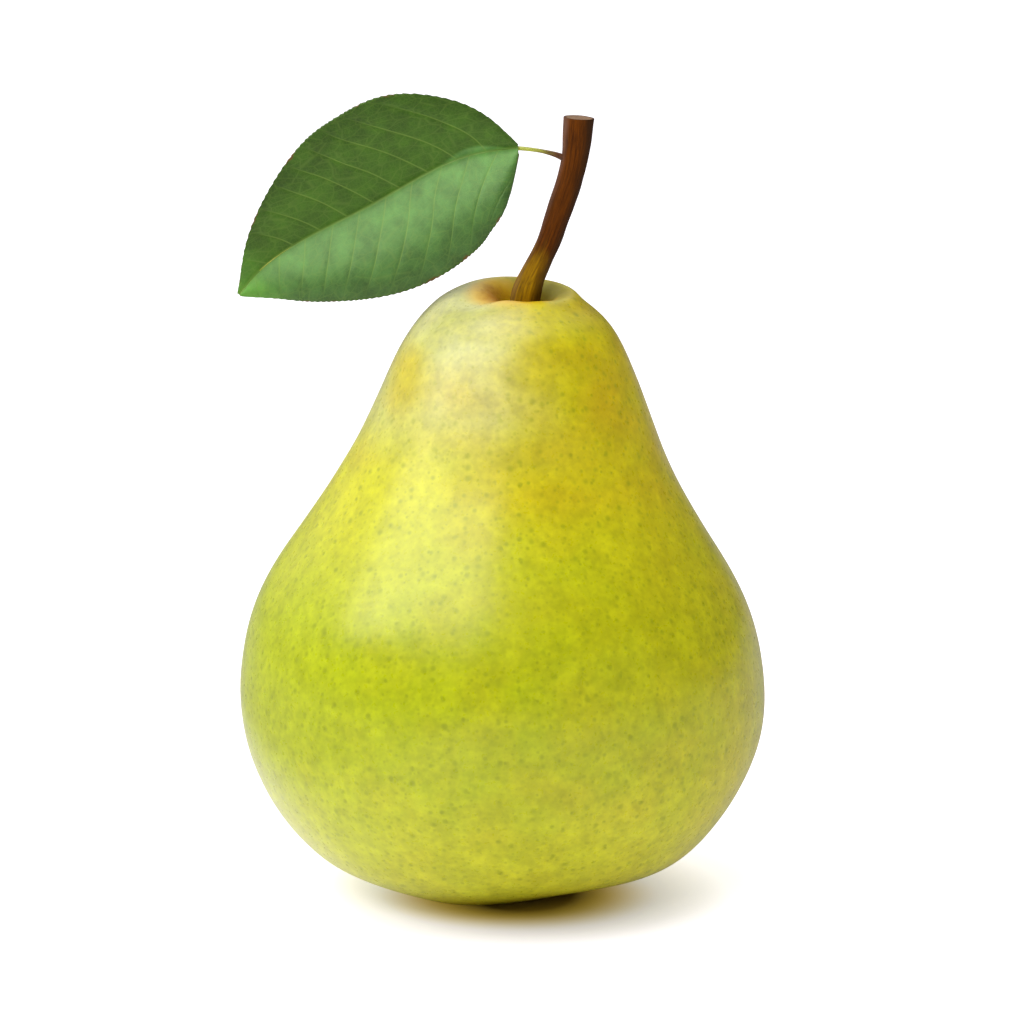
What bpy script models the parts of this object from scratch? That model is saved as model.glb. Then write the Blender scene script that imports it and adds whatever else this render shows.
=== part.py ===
"""A green pear with its stem and one leaf, standing on the five lobes of its calyx end.

Run it with blender --background --python part.py. Units are metres, +Z is up and -Y is the front.
The origin is on the surface that the pear stands on, under the middle of the fruit.
"""

import math

import bmesh
import bpy
import numpy as np

MM = 0.001

# Every length below is in millimetres and every angle in degrees.

# The turned outline of the fruit as (radius, height): down the stem cavity's wall, over the shoulder,
# down the neck and belly, round the rim that it stands on, and up the calyx basin to the axis.
FRUIT_OUTLINE = [
    (0.0, 80.2), (1.7, 80.3), (2.8, 81.3), (3.6, 83.4), (4.6, 84.8), (6.4, 85.55),
    (9.2, 84.6), (13.8, 80.5), (17.25, 74.0), (20.45, 66.0), (24.35, 58.0), (29.4, 50.0),
    (34.5, 41.0), (37.15, 29.0), (35.15, 17.0), (30.8, 9.5), (25.9, 4.45), (20.0, 1.55),
    (16.2, 0.2), (13.2, -0.35), (10.4, 0.6), (7.6, 2.8), (5.0, 4.9), (3.3, 6.3),
    (2.2, 7.9), (0.0, 8.2),
]
# The longest step down the outline, and the fewest between two of its points.
OUTLINE_STEP, FEWEST_STEPS = 3.0, 2
TURN_STEPS = 60

# How far the fruit's middle lies to the side at each height: it bends a little towards +X.
LEAN = [(0.0, 0.25), (12.0, 0.4), (25.0, 0.3), (45.0, -0.05),
        (55.0, 0.3), (65.0, 0.95), (75.0, 1.5), (86.5, 1.8)]

FRONT_TO_BACK = 0.98  # depth of the fruit over its width
SKEW, THREE_SIDED = 0.008, 0.007  # how far its round is off, as shares of the radius
LOBES, FIRST_LOBE = 5, -120.0
# How far the rim is off the table at each angle: it stands on four lobes, and the one at the
# front right hangs.
RIM_RISE = [(-192, 0.0), (-156, 0.3), (-120, 0.0), (-84, 0.65), (-60, 1.1), (-36, 0.75), (-12, 0.15),
            (24, 0.0), (60, 1.3), (96, 0.0), (132, 1.2), (168, 0.0)]
RISE_FADE = 3.6  # the height above the table at which little of that rise is left
RIB_SHARE, RIB_HEIGHT, RIB_REACH = 0.006, 13.0, 14.0

CROWN_START, CROWN_TOP = 79.0, 85.5  # the heights between which the stem end takes its own shape
CAVITY_SHIFT, CAVITY_START = 1.6, 74.0
CAVITY_RADIUS, SHOULDER_RADIUS = 5.6, 11.0  # the cavity's wall moves as a whole, and the shoulder stays
RIM_RADIUS, RIM_TILT, RIM_HIGH_SIDE = 6.4, 0.85, 120.0
CREASE_ANGLE, CREASE_SPREAD, CREASE_DEPTH = -142.0, 20.0, 1.0

# The stem's middle line from its foot in the cavity to the cut end, and its radius along it.
STEM_LINE = [
    (2.9, 0.0, 81.2), (3.4, 0.1, 84.2), (4.05, 0.2, 86.6), (5.1, 0.4, 88.9), (6.7, 0.8, 92.3),
    (8.3, 1.2, 96.9), (9.5, 1.4, 100.5), (10.4, 1.4, 104.5), (10.9, 1.3, 109.7),
]
STEM_RADIUS = [(0.0, 1.75), (0.1, 2.15), (0.22, 1.85), (0.4, 1.68), (0.65, 1.85), (0.84, 1.92),
               (0.95, 2.15), (1.0, 2.2)]
STEM_STEPS = 26

# The midrib from the blade's base to its tip, and the width of the blade's two halves along it.
MIDRIB = [(2.4, 0.9, 105.5), (-4.4, 1.8, 104.3), (-11.3, 2.6, 101.15), (-18.6, 3.2, 96.9),
          (-27.8, 3.6, 92.1), (-34.3, 4.0, 87.35), (-37.0, 4.2, 84.2)]
UPPER_WIDTH = [(0.0, 0.5), (0.06, 4.1), (0.15, 8.2), (0.27, 12.2), (0.43, 13.3), (0.58, 12.5),
               (0.74, 8.7), (0.88, 4.0), (0.96, 1.3), (1.0, 0.3)]
LOWER_WIDTH = [(0.0, 1.0), (0.02, 4.4), (0.06, 8.6), (0.1, 10.3), (0.15, 11.4), (0.27, 12.8),
               (0.43, 13.3), (0.58, 12.1), (0.74, 9.5), (0.88, 6.0), (0.96, 2.6), (1.0, 0.3)]
BLADE_THICKNESS = 0.45
BLADE_FACING = (0.05, -0.98, 0.12)  # the way its upper face looks
# How high each half stands over the midrib at a share t of its width: width * (rise * t - ease * t**3).
UPPER_FOLD, LOWER_FOLD = (0.36, 0.10), (0.62, 0.30)
BLADE_ROWS, BLADE_COLUMNS = 30, 12

# The leaf stalk from the stem to the blade. It goes on under the blade as the midrib's ridge.
STALK = [(8.2, 1.2, 104.3), (7.2, 1.1, 104.65), (5.6, 1.0, 105.05), (3.9, 0.9, 105.3)]
STALK_RADIUS = [(0.0, 0.4), (0.12, 0.34), (0.3, 0.42), (0.7, 0.3), (1.0, 0.12)]
RIDGE_END, RIDGE_DROP = 0.9, 0.3
RIDGE_STEPS = 34

# The dried calyx in the basin: five sepals round a tuft of dried stamens.
SEPALS, FIRST_SEPAL = 5, -70.0
SEPAL_LINE = [(3.0, 5.6), (3.9, 4.2), (5.2, 3.2), (6.9, 2.9)]  # radius and height along a sepal's middle
SEPAL_HALF_WIDTH = [(0.0, 1.25), (0.3, 1.35), (0.7, 0.75), (1.0, 0.12)]
SEPAL_THICKNESS, SEPAL_CUP = 0.35, 0.3
SEPAL_ROWS, SEPAL_COLUMNS = 8, 4
TUFT_OUTLINE = [(0.0, 7.5), (1.1, 7.4), (1.0, 6.0), (1.3, 4.4), (1.7, 3.3), (0.9, 3.0), (0.0, 3.1)]
TUFT_STEPS, TUFT_TURN_STEPS = 14, 16

MERGE = 0.01  # points nearer than this become one

# sRGB colour, roughness
SKIN_LOOK = ("pear_skin", "B9C42E", 0.38)
STEM_LOOK = ("stem_bark", "6B3A1C", 0.7)
LEAF_LOOK = ("leaf_green", "4C8038", 0.48)
CALYX_LOOK = ("dried_calyx", "3E2A1A", 0.85)


def spline(knots, values, at):
    """The natural cubic spline through values at knots, read at each place in at."""
    knots, values = np.array(knots, float), np.array(values, float)
    values = values.reshape(len(knots), -1)
    gaps = np.diff(knots)
    system = np.eye(len(knots))
    bends = np.zeros_like(values)
    for i in range(1, len(knots) - 1):
        system[i, i - 1 : i + 2] = gaps[i - 1], 2 * (gaps[i - 1] + gaps[i]), gaps[i]
        slopes = np.diff(values[i - 1 : i + 2], axis=0) / gaps[i - 1 : i + 1, None]
        bends[i] = 6 * (slopes[1] - slopes[0])
    bends = np.linalg.solve(system, bends)
    i = np.clip(np.searchsorted(knots, at, side="right") - 1, 0, len(gaps) - 1)
    gap = gaps[i][:, None]
    back = (knots[i + 1] - at)[:, None] / gap
    on = 1 - back
    straight = back * values[i] + on * values[i + 1]
    return straight + ((back**3 - back) * bends[i] + (on**3 - on) * bends[i + 1]) * gap**2 / 6


def distances(points):
    """How far along the line through points each of them is."""
    lengths = np.linalg.norm(np.diff(np.array(points, float), axis=0), axis=1)
    return np.concatenate([[0], np.cumsum(lengths)])


def along(points, count):
    """count points evenly spaced along a smooth line through points."""
    knots = distances(points)
    return spline(knots, points, np.linspace(0, knots[-1], count))


def stepped(points, longest, fewest):
    """A smooth line through points that holds each of them, with at least fewest steps from one to the next."""
    knots = distances(points)
    places = [0.0]
    for start, end in zip(knots, knots[1:]):
        steps = max(fewest, math.ceil((end - start) / longest))
        places.extend(np.linspace(start, end, steps + 1)[1:])
    return spline(knots, points, np.array(places))


def read(table, at):
    """A table of (place, value) as a smooth function, read at each place in at."""
    places, values = zip(*table)
    return spline(places, values, np.array(at, float))[:, 0]


def ramp(value, start, end):
    """0 before start, 1 after end, and a smooth step between them."""
    share = np.clip((value - start) / (end - start), 0, 1)
    return share * share * (3 - 2 * share)


def hump(value, middle, reach):
    return np.exp(-(((value - middle) / reach) ** 2))


def points_of(mesh):
    """A mesh's points in millimetres."""
    points = np.empty(len(mesh.vertices) * 3)
    mesh.vertices.foreach_get("co", points)
    return points.reshape(-1, 3) / MM


def set_points(mesh, points):
    mesh.vertices.foreach_set("co", (np.array(points) * MM).ravel())
    mesh.update()


def material(look):
    name, colour, roughness = look
    made = bpy.data.materials.new(name)
    made.use_nodes = True
    shader = made.node_tree.nodes["Principled BSDF"]
    srgb = np.array([int(colour[i : i + 2], 16) / 255 for i in (0, 2, 4)])
    linear = np.where(srgb <= 0.04045, srgb / 12.92, ((srgb + 0.055) / 1.055) ** 2.4)
    shader.inputs["Base Color"].default_value = (*linear, 1)
    shader.inputs["Roughness"].default_value = roughness
    shader.inputs["Metallic"].default_value = 0.0
    return made


def add(name, data, collection, look=None):
    obj = bpy.data.objects.new(name, data)
    collection.objects.link(obj)
    if look:
        data.materials.clear()
        data.materials.append(look)
    return obj


def baked(obj, name, collection, look):
    """obj with its modifiers as a plain mesh object, in place of obj."""
    graph = bpy.context.evaluated_depsgraph_get()
    mesh = bpy.data.meshes.new_from_object(obj.evaluated_get(graph))
    cage = bmesh.new()
    cage.from_mesh(mesh)
    bmesh.ops.remove_doubles(cage, verts=cage.verts, dist=MERGE * MM)
    cage.to_mesh(mesh)
    cage.free()
    matrix = obj.matrix_world.copy()
    bpy.data.objects.remove(obj)
    made = add(name, mesh, collection, look)
    made.matrix_world = matrix
    mesh.shade_smooth()
    return made


def turned(name, line, turn_steps, collection, look):
    """A line of (radius, height), listed from the top down, turned about the Z axis as a closed body."""
    line[[0, -1], 0] = 0
    mesh = bpy.data.meshes.new(name + "_outline")
    corners = [(radius * MM, 0, height * MM) for radius, height in line]
    mesh.from_pydata(corners, [(i, i + 1) for i in range(len(corners) - 1)], [])
    profile = add(name + "_outline", mesh, collection)
    screw = profile.modifiers.new("turn", "SCREW")
    screw.axis = "Z"
    screw.steps = screw.render_steps = turn_steps
    screw.use_merge_vertices = True
    screw.merge_threshold = MERGE * MM
    return baked(profile, name, collection, look)


def tube(name, line, radii, sides_resolution, collection, look):
    """A round bar along line, in millimetres, with its own radius at each point."""
    curve = bpy.data.curves.new(name + "_line", "CURVE")
    curve.dimensions = "3D"
    curve.bevel_depth = MM
    curve.bevel_resolution = sides_resolution
    curve.use_fill_caps = True
    spine = curve.splines.new("POLY")
    spine.points.add(len(line) - 1)
    for point, place, radius in zip(spine.points, line, radii):
        point.co = (*(np.array(place) * MM), 1)
        point.radius = radius
    return baked(add(name + "_line", curve, collection), name, collection, look)


def sheet(name, rows, columns, place, thickness, collection, look):
    """A thin plate whose middle surface is place(along, across), with across from -1 to 1."""
    mesh = bpy.data.meshes.new(name)
    grid = bmesh.new()
    bmesh.ops.create_grid(grid, x_segments=rows, y_segments=columns, size=1)
    grid.to_mesh(mesh)
    grid.free()
    flat = points_of(mesh) * MM
    set_points(mesh, place((flat[:, 0] + 1) / 2, flat[:, 1]))
    obj = add(name + "_sheet", mesh, collection)
    solidify = obj.modifiers.new("thickness", "SOLIDIFY")
    solidify.thickness = thickness * MM
    solidify.offset = 0
    return baked(obj, name, collection, look)


def round_the_rim(degrees):
    """How far the rim is off the table at these angles: RIM_RISE as a smooth closed ring."""
    ring = RIM_RISE[:-1]
    turns = [(angle + turn, rise) for turn in (-360, 0, 360) for angle, rise in ring]
    return read(turns, degrees)


def shape_fruit(points):
    """Takes the turned fruit's points to where they are on the grown one."""
    x, y, z = points.T
    radius, angle = np.hypot(x, y), np.arctan2(y, x)
    round_lobe = np.cos(LOBES * (angle - math.radians(FIRST_LOBE)))

    swell = 1 + SKEW * np.sin(2 * angle) + THREE_SIDED * np.sin(3 * angle)
    swell += RIB_SHARE * round_lobe * hump(z, RIB_HEIGHT, RIB_REACH)
    x, y = x * swell, y * swell * FRONT_TO_BACK

    near_rim = hump(np.maximum(z, 0), 0, RISE_FADE) * ramp(radius, 3.0, 11.0)
    z = z + round_the_rim(np.degrees(angle)) * near_rim

    crown = ramp(z, CROWN_START, CROWN_TOP)
    mouth = ramp(z, CAVITY_START, CROWN_START) * (1 - ramp(radius, CAVITY_RADIUS, SHOULDER_RADIUS))
    off_crease = (np.degrees(angle) - CREASE_ANGLE + 180) % 360 - 180
    crease = hump(off_crease, 0, CREASE_SPREAD) * hump(radius, RIM_RADIUS, 3.0)
    tilt = RIM_TILT * np.minimum(radius / RIM_RADIUS, 1) * np.cos(angle - math.radians(RIM_HIGH_SIDE))
    z = z + crown * (tilt - CREASE_DEPTH * crease)
    x = x + CAVITY_SHIFT * mouth + read(LEAN, z)
    return np.column_stack([x, y, np.maximum(z, 0)])


def make_fruit(collection, look):
    outline = stepped(FRUIT_OUTLINE, OUTLINE_STEP, FEWEST_STEPS)
    fruit = turned("fruit", outline, TURN_STEPS, collection, look)
    set_points(fruit.data, shape_fruit(points_of(fruit.data)))
    return fruit


def make_stem(collection, look):
    shares = np.linspace(0, 1, STEM_STEPS)
    return tube("stem", along(STEM_LINE, STEM_STEPS), read(STEM_RADIUS, shares), 5, collection, look)


def unit(vectors):
    return vectors / np.linalg.norm(vectors, axis=-1, keepdims=True)


def blade_frame(share):
    """The midrib's points at these shares of its length, with the ways across and out of the blade there."""
    fine = along(MIDRIB, 200)
    places = np.column_stack([np.interp(share, np.linspace(0, 1, len(fine)), axis) for axis in fine.T])
    heading = np.gradient(fine, axis=0)
    heading = np.column_stack([np.interp(share, np.linspace(0, 1, len(fine)), axis) for axis in heading.T])
    across = unit(np.cross(heading, unit(np.array(BLADE_FACING))))
    return places, across, unit(np.cross(across, heading))


def blade_surface(share, across):
    """Points on the leaf blade: each half rises from the midrib and flattens towards its margin."""
    places, sideways, outwards = blade_frame(share)
    out = np.abs(across)
    width = np.where(across > 0, read(UPPER_WIDTH, share), read(LOWER_WIDTH, share))
    rise, ease = np.where(across > 0, np.array(UPPER_FOLD)[:, None], np.array(LOWER_FOLD)[:, None])
    step = np.sign(across)[:, None] * sideways * (width * out)[:, None]
    return places + step + outwards * (width * (rise * out - ease * out**3))[:, None]


def make_leaf(collection, look):
    blade = sheet("leaf", BLADE_ROWS, BLADE_COLUMNS, blade_surface, BLADE_THICKNESS, collection, look)
    share = np.linspace(0, RIDGE_END, RIDGE_STEPS)
    places, _, outwards = blade_frame(share)
    ridge = places - outwards * (RIDGE_DROP * (1 - ramp(share, 0.5, RIDGE_END)))[:, None]
    line = along(np.vstack([STALK, ridge[1:]]), RIDGE_STEPS + len(STALK))
    radii = read(STALK_RADIUS, np.linspace(0, 1, len(line)))
    stalk = tube("leaf_stalk", line, radii, 2, collection, look)
    join = blade.modifiers.new("stalk", "BOOLEAN")
    join.operation = "UNION"
    join.object = stalk
    leaf = baked(blade, "leaf", collection, look)
    bpy.data.objects.remove(stalk)
    return leaf


def sepal_surface(turn):
    """The place function of the sepal that stands at this angle."""
    line = along(SEPAL_LINE, 40)

    def place(share, across):
        radius, height = (np.interp(share, np.linspace(0, 1, len(line)), axis) for axis in line.T)
        sideways = read(SEPAL_HALF_WIDTH, share) * across
        height = height - SEPAL_CUP * across**2 * (1 - share)
        cosine, sine = math.cos(turn), math.sin(turn)
        return np.column_stack([radius * cosine - sideways * sine, radius * sine + sideways * cosine, height])

    return place


def make_calyx(collection, look):
    for i in range(SEPALS):
        turn = math.radians(FIRST_SEPAL + i * 360 / SEPALS)
        place = sepal_surface(turn)
        sheet(f"sepal_{i + 1}", SEPAL_ROWS, SEPAL_COLUMNS, place, SEPAL_THICKNESS, collection, look)
    turned("stamen_tuft", along(TUFT_OUTLINE, TUFT_STEPS), TUFT_TURN_STEPS, collection, look)


def main():
    for obj in list(bpy.data.objects):
        bpy.data.objects.remove(obj)
    collection = bpy.data.collections.new("pear")
    bpy.context.scene.collection.children.link(collection)
    make_fruit(collection, material(SKIN_LOOK))
    make_stem(collection, material(STEM_LOOK))
    make_leaf(collection, material(LEAF_LOOK))
    make_calyx(collection, material(CALYX_LOOK))


main()
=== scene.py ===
"""A green pear with its stem and one leaf, standing on a white studio floor.

The file is laid out as a Blender add-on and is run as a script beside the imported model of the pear.
Lengths in the shape tables are millimetres. +Z is up, -Y is the front and the pear stands at z = 0.
"""

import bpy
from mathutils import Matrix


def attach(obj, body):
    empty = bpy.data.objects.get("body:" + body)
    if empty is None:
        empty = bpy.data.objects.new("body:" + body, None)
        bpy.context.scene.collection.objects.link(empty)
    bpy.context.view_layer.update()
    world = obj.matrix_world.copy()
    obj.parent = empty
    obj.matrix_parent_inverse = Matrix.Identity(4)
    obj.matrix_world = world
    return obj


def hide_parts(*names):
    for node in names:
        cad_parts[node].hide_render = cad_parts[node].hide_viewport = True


bl_info = {
    "name": "Pear with a leaf",
    "version": (1, 0, 0),
    "blender": (4, 5, 0),
    "location": "3D View > Sidebar > Pear",
    "description": "Builds a pear, its stem, leaf and calyx, and the studio that it stands in",
    "category": "Add Mesh",
}

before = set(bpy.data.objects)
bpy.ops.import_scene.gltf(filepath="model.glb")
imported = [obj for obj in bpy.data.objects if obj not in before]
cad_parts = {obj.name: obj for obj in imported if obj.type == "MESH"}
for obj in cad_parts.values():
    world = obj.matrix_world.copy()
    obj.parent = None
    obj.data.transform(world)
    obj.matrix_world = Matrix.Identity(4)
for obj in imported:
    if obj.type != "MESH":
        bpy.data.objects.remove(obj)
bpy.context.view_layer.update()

import math
from functools import partial

import bmesh
import bpy
import numpy as np
from mathutils import Quaternion, Vector, noise

BODY = "root"
MM = 0.001

# The turned outline of the fruit as (radius, height): down the stem cavity's wall, over the shoulder,
# down the neck and belly, round the rim that it stands on, and up the calyx basin to the axis.
FRUIT_OUTLINE = [
    (0.0, 80.2), (1.7, 80.3), (2.8, 81.3), (3.6, 83.4), (4.6, 84.8), (6.4, 85.55),
    (9.2, 84.6), (13.8, 80.5), (17.25, 74.0), (20.45, 66.0), (24.35, 58.0), (29.4, 50.0),
    (34.5, 41.0), (37.15, 29.0), (35.15, 17.0), (30.8, 9.5), (25.9, 4.45), (20.0, 1.55),
    (16.2, 0.2), (13.2, -0.35), (10.4, 0.6), (7.6, 2.8), (5.0, 4.9), (3.3, 6.3),
    (2.2, 7.9), (0.0, 8.2),
]

# How far the fruit's middle lies to the side at each height.
LEAN = [(0.0, 0.25), (12.0, 0.4), (25.0, 0.3), (45.0, -0.05), (55.0, 0.3), (65.0, 0.95),
        (75.0, 1.5), (86.5, 1.8)]

# How the grown fruit's rows differ from the turned circle, as shares of the radius, and the soft ribs of
# its base as (share of the radius, height of their middle, reach).
FRONT_TO_BACK, SKEW, THREE_SIDED = 0.98, 0.008, 0.007
RIB_SHARE, RIB_HEIGHT, RIB_REACH = 0.006, 13.0, 14.0
LOBES, FIRST_LOBE = 5, -120.0
# How far the rim that the fruit stands on is off the table at each angle, and how soon that fades upwards.
RIM_RISE = [(-192, 0.0), (-156, 0.3), (-120, 0.0), (-84, 0.65), (-60, 1.1), (-36, 0.75), (-12, 0.15),
            (24, 0.0), (60, 1.3), (96, 0.0), (132, 1.2), (168, 0.0)]
RISE_FADE = 3.6

# The crown: its heights, the cavity off its centre, the cavity's tilted rim and the crease that leaves it.
CROWN_START, CROWN_TOP = 79.0, 85.5
CAVITY_SHIFT, CAVITY_START = 1.6, 74.0
CAVITY_RADIUS, SHOULDER_RADIUS = 5.6, 11.0
RIM_RADIUS, RIM_TILT, RIM_HIGH_SIDE = 6.4, 0.85, 120.0
CREASE_ANGLE, CREASE_SPREAD, CREASE_DEPTH = -142.0, 20.0, 1.0
CAVITY_FLOOR = (3.2, 0.0)
# Patches of warmer skin as (place, reach in x, y and z, strength); a negative one is cooler.
WARM_PATCHES = [
    ((-13.5, -8.0, 75.0), (3.0, 6.0, 5.0), 0.7), ((5.5, -22.0, 60.0), (6.0, 8.0, 2.6), 0.35),
    ((15.0, -12.0, 73.0), (6.0, 8.0, 5.0), 0.25), ((-19.0, -8.0, 62.0), (3.0, 8.0, 3.0), 0.35),
    ((-14.0, -22.0, 59.0), (8.0, 14.0, 7.0), -0.35),
]
# Lenticels in three sizes, as (share of the dot spacing, strength, widest as a share of their spacing).
LENTICELS = [(1.0, 0.5, 0.38), (0.66, 0.36, 0.34), (0.4, 0.04, 0.28)]
# The skin stands a little proud of the turned outline on the flanks, between these heights.
SKIN_PROUD = 0.15
FLANK_START, FLANK_END = (2.0, 14.0), (66.0, 80.0)
LUMPS_START = (2.0, 9.0)
CAVITY_HEIGHTS, CAVITY_RADII = (79.0, 81.0), (5.4, 7.6)
FURROW_DEPTH, FURROW_SIZE = 0.16, 0.35
MOTTLING = (9.0, 9.0, 6.0)  # size of the clouds of ripeness, across, deep and high

# The stem's middle line from its foot in the cavity to the cut end, and its radius along it.
STEM_LINE = [
    (2.9, 0.0, 81.2), (3.4, 0.1, 84.2), (4.05, 0.2, 86.6), (5.1, 0.4, 88.9), (6.7, 0.8, 92.3),
    (8.3, 1.2, 96.9), (9.5, 1.4, 100.5), (10.4, 1.4, 104.5), (10.9, 1.3, 109.7),
]
STEM_RADIUS = [(0.0, 1.75), (0.1, 2.15), (0.22, 1.85), (0.4, 1.68), (0.65, 1.85), (0.84, 1.92),
               (0.95, 2.15), (1.0, 2.2)]
# The closed ends of the bars, from the rim to the middle, as (share of the radius, how far out).
CUT_END = [(0.96, 0.03), (0.88, 0.02), (0.75, -0.06), (0.55, -0.1), (0.35, -0.04), (0.15, -0.02),
           (0.0, -0.02)]
ROUND_END = [(0.9, 0.03), (0.6, 0.08), (0.3, 0.1), (0.0, 0.11)]
# The bark's ridges as (share of the depth, ridges in a turn, length as a share of the stem, seed).
BARK_RIDGES = [(1.0, 9.0, 0.45, 4), (0.5, 22.0, 0.12, 5), (0.8, 5.0, 0.09, 6)]

# The midrib from the blade's base to its tip, and the width of the blade's two halves along it.
MIDRIB = [(2.4, 0.9, 105.5), (-4.4, 1.8, 104.3), (-11.3, 2.6, 101.15), (-18.6, 3.2, 96.9),
          (-27.8, 3.6, 92.1), (-34.3, 4.0, 87.35), (-37.0, 4.2, 84.2)]
UPPER_WIDTH = [(0.0, 0.5), (0.06, 4.1), (0.15, 8.2), (0.27, 12.2), (0.43, 13.3), (0.58, 12.5),
               (0.74, 8.7), (0.88, 4.0), (0.96, 1.3), (1.0, 0.3)]
LOWER_WIDTH = [(0.0, 1.0), (0.02, 4.4), (0.06, 8.6), (0.1, 10.3), (0.15, 11.4), (0.27, 12.8),
               (0.43, 13.3), (0.58, 12.1), (0.74, 9.5), (0.88, 6.0), (0.96, 2.6), (1.0, 0.3)]
BLADE_FACING = (0.05, -0.98, 0.12)
# How high each half stands over the midrib at a share t of its width: width * (rise * t - ease * t**3).
UPPER_FOLD, LOWER_FOLD = (0.36, 0.10), (0.62, 0.30)

# Relief of the blade: its teeth, the side veins' way out, the quilting between them, the midrib's groove
# and the slow waves of the margin.
TOOTH_DEPTH, TOOTH_RISE = 0.14, 0.75
VEIN_SLANT, VEIN_SWEEP = 0.62, 0.016
QUILT_DEPTH, GROOVE_DEPTH, GROOVE_REACH, WAVE_DEPTH = 0.13, 0.22, 0.45, 0.35

# The leaf stalk from the stem to the blade, and on under the blade as the midrib's ridge.
STALK = [(8.9, 1.2, 104.0), (8.2, 1.2, 104.3), (7.2, 1.1, 104.65), (5.6, 1.0, 105.05), (3.9, 0.9, 105.3)]
STALK_RADIUS = [(0.0, 0.5), (0.02, 0.42), (0.05, 0.32), (0.12, 0.29), (0.3, 0.4), (0.7, 0.3), (1.0, 0.12)]
STALK_POINTS, STALK_ROWS, STALK_SIDES = 44, 300, 24
RIDGE_POINTS, RIDGE_END, RIDGE_DROP = 40, 0.9, 0.6

# The dried calyx in the basin.
SEPALS, FIRST_SEPAL = 5, -70.0
SEPAL_LINE = [(3.0, 5.6), (3.9, 4.2), (5.2, 3.2), (6.9, 2.9)]
SEPAL_HALF_WIDTH = [(0.0, 1.25), (0.3, 1.35), (0.7, 0.75), (1.0, 0.12)]
FILAMENT_STEPS, FILAMENT_TOP = 7, 7.3
FILAMENT_TURN = 2.399963  # radians from one filament to the next, so that they fill the throat evenly

FINEST_GAP = 0.002  # points nearer than this are one

# The studio, in metres. Each light is (name, direction, distance, width, height, roll, hidden from).
# The shine card makes the skin's highlight alone, and the key and the fill add nothing to it.
LIGHTS = {
    "key": ("key_softbox", (-0.54, -0.43, 0.72), 0.8, 1.1, 0.4, 0.0, "visible_glossy"),
    "shine": ("shine_card", (-0.535, -0.44, 0.76), 0.8, 1.0, 0.34, 24.0, "visible_diffuse"),
    "top": ("top_softbox", (-0.05, 0.05, 1.0), 1.2, 0.8, 0.8, 0.0, None),
    "fill": ("fill_card", (0.7, -0.7, 0.28), 0.9, 1.0, 0.28, 0.0, "visible_glossy"),
}
LIT_POINT = (0.0, 0.0, 0.05)
LENS, SENSOR = 223.6, 36.0  # millimetres
CAMERA_ELEVATION, CAMERA_DISTANCE, CAMERA_AIM = 11.0, 0.9, (0.00155, 0.0, 0.0537)
FLOOR_DROP = 0.00002  # keeps the floor's face clear of the fruit's flat spot
# The painted shadow and bounce tint at the floor's foot, and the oval where the floor's glow is cut out to
# paint a soft shadow, and how far out each fades.
FOOT_SHIFT, FOOT_FADE, FOOT_PAINTED_BOUNCE = (-0.002, 0.008, 0.0), (0.0105, 0.021), (1.0, 0.74, 0.12)
SHADOW_SHIFT, SHADOW_STRETCH, SHADOW_FADE = (-0.0042, 0.0095, 0.0), (1.36, 1.12, 1.0), (0.0095, 0.040)
# How bright the floor looks in the pear's reflections, a painted reflection: most near DIM_SIDE on the
# left, and less further off.
DIM_SIDE, DIM_FADE, DIM_LEVELS = 0.042, (0.012, 0.045), (0.72, 0.32)
CEILING_SIDE, ROOM_DARK = (-0.35, 0.35, 0.87), 0.07

# Settings that many nodes share: a smooth step, and a mix of two colours.
SMOOTH = {"interpolation_type": "SMOOTHSTEP"}
COLOURS = {"output": 2, "data_type": "RGBA"}


def linear(colour):
    """An sRGB hex colour as the linear values that Blender's colour properties hold."""
    srgb = np.array([int(colour[i : i + 2], 16) / 255 for i in (0, 2, 4)])
    return tuple(np.where(srgb <= 0.04045, srgb / 12.92, ((srgb + 0.055) / 1.055) ** 2.4).tolist())


# Settings


def size(name, description, millimetres):
    return bpy.props.FloatProperty(
        name=name, description=description, default=millimetres * MM, min=0.0, precision=5, unit="LENGTH"
    )


def colour(name, description, srgb):
    return bpy.props.FloatVectorProperty(
        name=name, description=description, default=linear(srgb), min=0.0, max=1.0, size=3, subtype="COLOR"
    )


def brightness(name, description, strength):
    return bpy.props.FloatProperty(name=name, description=description, default=strength, min=0.0)


def count(name, description, number):
    return bpy.props.IntProperty(name=name, description=description, default=number, min=3)


class PearFruitSettings(bpy.types.PropertyGroup):
    rows: count("Rows", "Rows of points from the stem to the calyx", 296)
    turns: count("Turns", "Points in each row round the fruit", 320)
    lump_size: size("Lump size", "How far apart the broad lumps of the flesh are", 17.0)
    lump_depth: size("Lump depth", "How far the broad lumps stand out", 0.22)
    dot_spacing: size("Dot spacing", "How far apart the lenticels of the skin are", 1.5)
    belly: colour("Belly", "Skin at the widest part", "ABB708")
    neck: colour("Neck", "Skin of the neck", "C8C614")
    # The pale side is partly real skin away from the sun and partly a painted highlight on the neck's left.
    pale: colour("Pale side", "Skin of the neck on the side away from the sun", "C4C478")
    base: colour("Base", "Skin round the calyx", "C4C62C")
    sunny: colour("Sunny side", "Ripest skin, on the side that had the sun", "C6AE16")
    dots: colour("Dots", "Lenticels", "7F8A08")
    russet: colour("Russet", "Corky skin in the stem cavity", "AE6C0C")
    golden: colour("Golden", "Skin round the russet", "E4B40A")
    # Painted shade: a dark olive for the recess of the stem cavity.
    cavity: colour("Cavity", "Skin of the stem cavity away from the russet", "94880A")


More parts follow.
